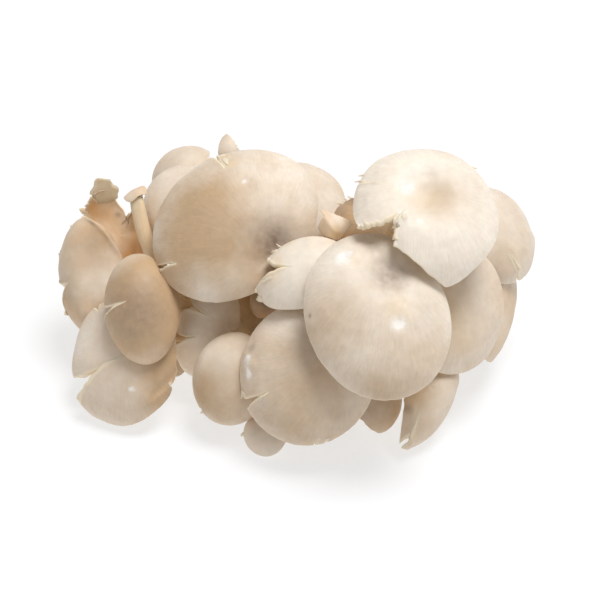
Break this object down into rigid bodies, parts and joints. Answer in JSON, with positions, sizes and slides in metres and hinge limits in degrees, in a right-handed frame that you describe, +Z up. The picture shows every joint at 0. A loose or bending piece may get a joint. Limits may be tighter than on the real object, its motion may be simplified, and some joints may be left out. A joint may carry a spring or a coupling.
{
  "type": "oyster mushroom cluster",
  "caption": "Cluster of pale beige oyster mushrooms: overlapping fan-shaped caps with gills underneath, curved stems and a shared butt cut flat across its foot.",
  "frame": {"origin": "middle of the flat cut across the foot of the butt, which the cluster rests on", "axes": "+Z up, -Y towards the side seen in the picture, +X to the right in the picture"},
  "size_m": [0.2092, 0.1449, 0.1124],
  "materials": {
    "cap_skin": "satin",
    "pale_cap_skin": "satin",
    "dark_cap_skin": "satin",
    "butt_skin": "matte"
  },
  "bodies": {
    "root": {"mushroom_top_left_large": "cap_skin", "mushroom_front_right_large": "cap_skin", "mushroom_top_right_large": "cap_skin", "mushroom_front_large": "cap_skin", "mushroom_left_shoulder": "cap_skin", "mushroom_left_shoulder_back": "cap_skin", "mushroom_behind_top_left": "cap_skin", "mushroom_left_folded": "cap_skin", "mushroom_left_cupped": "cap_skin", "mushroom_left_upright": "cap_skin", "mushroom_left_tongue": "cap_skin", "mushroom_left_low_split": "cap_skin", "mushroom_inner_left_slit": "cap_skin", "mushroom_inner_left_low": "cap_skin", "mushroom_front_left_round": "cap_skin", "mushroom_front_low_button": "cap_skin", "mushroom_right_shoulder": "cap_skin", "mushroom_right_front": "cap_skin", "mushroom_right_edge": "cap_skin", "mushroom_front_right_folded": "cap_skin", "mushroom_front_right_shaded": "cap_skin", "mushroom_middle_torn": "pale_cap_skin", "mushroom_middle_button": "dark_cap_skin", "mushroom_middle_small_torn": "pale_cap_skin", "mushroom_middle_behind_torn": "cap_skin", "mushroom_back_tab": "cap_skin", "mushroom_left_pinhead": "cap_skin", "mushroom_back_right": "cap_skin", "mushroom_back_middle_right": "cap_skin", "mushroom_back_middle_left": "cap_skin", "mushroom_back_left": "cap_skin", "mushroom_back_low": "cap_skin", "butt": "butt_skin"}
  },
  "joints": []
}
